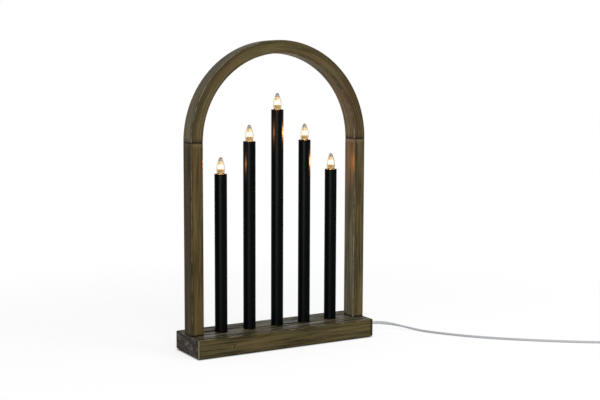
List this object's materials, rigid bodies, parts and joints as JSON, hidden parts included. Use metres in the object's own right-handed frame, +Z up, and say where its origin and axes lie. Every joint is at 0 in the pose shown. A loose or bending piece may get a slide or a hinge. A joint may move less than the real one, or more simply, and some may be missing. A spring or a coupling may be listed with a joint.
{
  "type": "electric candle arch",
  "caption": "Electric candle arch: stained wooden posts and a round arch on a board, over a stepped row of black candle tubes with clear screw-in bulbs, with a flat mains cord and plug.",
  "frame": {"origin": "on the table under the middle of the base board, at the felt pads' undersides", "axes": "+Z up, +X along the base to the end the cord leaves, -Y towards the front"},
  "size_m": [0.7288, 0.3939, 0.4695],
  "materials": {
    "stained_wood": "brown stained softwood with worn, lighter edges",
    "beech": "bare, turned",
    "zinc_steel": "zinc plated",
    "hardboard": "smooth pressed board",
    "felt": "dark felt",
    "clamp_plastic": "moulded",
    "black_tube": "satin black",
    "black_holder": "moulded black",
    "brass": "stamped",
    "cap_brass": "rolled thread",
    "contact_insulator": "dark insulator with a solder tip",
    "clear_glass": "clear, blown",
    "led_stem": "warm white emitter",
    "wire_insulation": "soft insulation",
    "cord_white": "soft white flex",
    "tie_plastic": "thin band",
    "plug_white": "moulded white",
    "pin_nickel": "nickel plated"
  },
  "bodies": {
    "root": {"base_board": "stained_wood", "left_post": "stained_wood", "right_post": "stained_wood", "arch": "stained_wood", "arch_dowels": "beech", "post_screws": "zinc_steel", "cover_screws": "zinc_steel", "clamp_screws": "zinc_steel", "bottom_cover": "hardboard", "felt_pads": "felt", "cord_clamp": "clamp_plastic", "candle_tube_1": "black_tube", "lamp_holder_1": "black_holder", "thread_shell_1": "brass", "contact_spring_1": "brass", "candle_tube_2": "black_tube", "lamp_holder_2": "black_holder", "thread_shell_2": "brass", "contact_spring_2": "brass", "candle_tube_3": "black_tube", "lamp_holder_3": "black_holder", "thread_shell_3": "brass", "contact_spring_3": "brass", "candle_tube_4": "black_tube", "lamp_holder_4": "black_holder", "thread_shell_4": "brass", "contact_spring_4": "brass", "candle_tube_5": "black_tube", "lamp_holder_5": "black_holder", "thread_shell_5": "brass", "contact_spring_5": "brass", "link_wires": "wire_insulation", "supply_wires": "wire_insulation", "cord_lead": "cord_white", "cord_coil": "cord_white", "cord_tie": "tie_plastic", "plug_body": "plug_white", "plug_pins": "pin_nickel"},
    "bulb_1": {"bulb_glass_1": "clear_glass", "bulb_cap_1": "cap_brass", "bulb_led_1": "led_stem"},
    "bulb_1_contact": {"bulb_contact_1": "contact_insulator"},
    "bulb_2": {"bulb_glass_2": "clear_glass", "bulb_cap_2": "cap_brass", "bulb_led_2": "led_stem"},
    "bulb_2_contact": {"bulb_contact_2": "contact_insulator"},
    "bulb_3": {"bulb_glass_3": "clear_glass", "bulb_cap_3": "cap_brass", "bulb_led_3": "led_stem"},
    "bulb_3_contact": {"bulb_contact_3": "contact_insulator"},
    "bulb_4": {"bulb_glass_4": "clear_glass", "bulb_cap_4": "cap_brass", "bulb_led_4": "led_stem"},
    "bulb_4_contact": {"bulb_contact_4": "contact_insulator"},
    "bulb_5": {"bulb_glass_5": "clear_glass", "bulb_cap_5": "cap_brass", "bulb_led_5": "led_stem"},
    "bulb_5_contact": {"bulb_contact_5": "contact_insulator"}
  },
  "joints": [
    {"name": "bulb_1_lift", "type": "slide", "parent": "root", "child": "bulb_1_contact", "axis": [0, 0, 1], "range_m": [0, 0.0091]},
    {"name": "bulb_1_turn", "type": "hinge", "parent": "bulb_1_contact", "child": "bulb_1", "pos_m": [-0.097, 0, 0.2695], "axis": [0, 0, 1], "range_deg": [0, 1800]},
    {"name": "bulb_2_lift", "type": "slide", "parent": "root", "child": "bulb_2_contact", "axis": [0, 0, 1], "range_m": [0, 0.0091]},
    {"name": "bulb_2_turn", "type": "hinge", "parent": "bulb_2_contact", "child": "bulb_2", "pos_m": [-0.0485, 0, 0.317], "axis": [0, 0, 1], "range_deg": [0, 1800]},
    {"name": "bulb_3_lift", "type": "slide", "parent": "root", "child": "bulb_3_contact", "axis": [0, 0, 1], "range_m": [0, 0.0091]},
    {"name": "bulb_3_turn", "type": "hinge", "parent": "bulb_3_contact", "child": "bulb_3", "pos_m": [0, 0, 0.3645], "axis": [0, 0, 1], "range_deg": [0, 1800]},
    {"name": "bulb_4_lift", "type": "slide", "parent": "root", "child": "bulb_4_contact", "axis": [0, 0, 1], "range_m": [0, 0.0091]},
    {"name": "bulb_4_turn", "type": "hinge", "parent": "bulb_4_contact", "child": "bulb_4", "pos_m": [0.0485, 0, 0.317], "axis": [0, 0, 1], "range_deg": [0, 1800]},
    {"name": "bulb_5_lift", "type": "slide", "parent": "root", "child": "bulb_5_contact", "axis": [0, 0, 1], "range_m": [0, 0.0091]},
    {"name": "bulb_5_turn", "type": "hinge", "parent": "bulb_5_contact", "child": "bulb_5", "pos_m": [0.097, 0, 0.2695], "axis": [0, 0, 1], "range_deg": [0, 1800]}
  ],
  "couplings": [
    {"joint": "bulb_1_lift", "follows": "bulb_1_turn", "m_per_rad": 0.00028875},
    {"joint": "bulb_2_lift", "follows": "bulb_2_turn", "m_per_rad": 0.00028875},
    {"joint": "bulb_3_lift", "follows": "bulb_3_turn", "m_per_rad": 0.00028875},
    {"joint": "bulb_4_lift", "follows": "bulb_4_turn", "m_per_rad": 0.00028875},
    {"joint": "bulb_5_lift", "follows": "bulb_5_turn", "m_per_rad": 0.00028875}
  ]
}
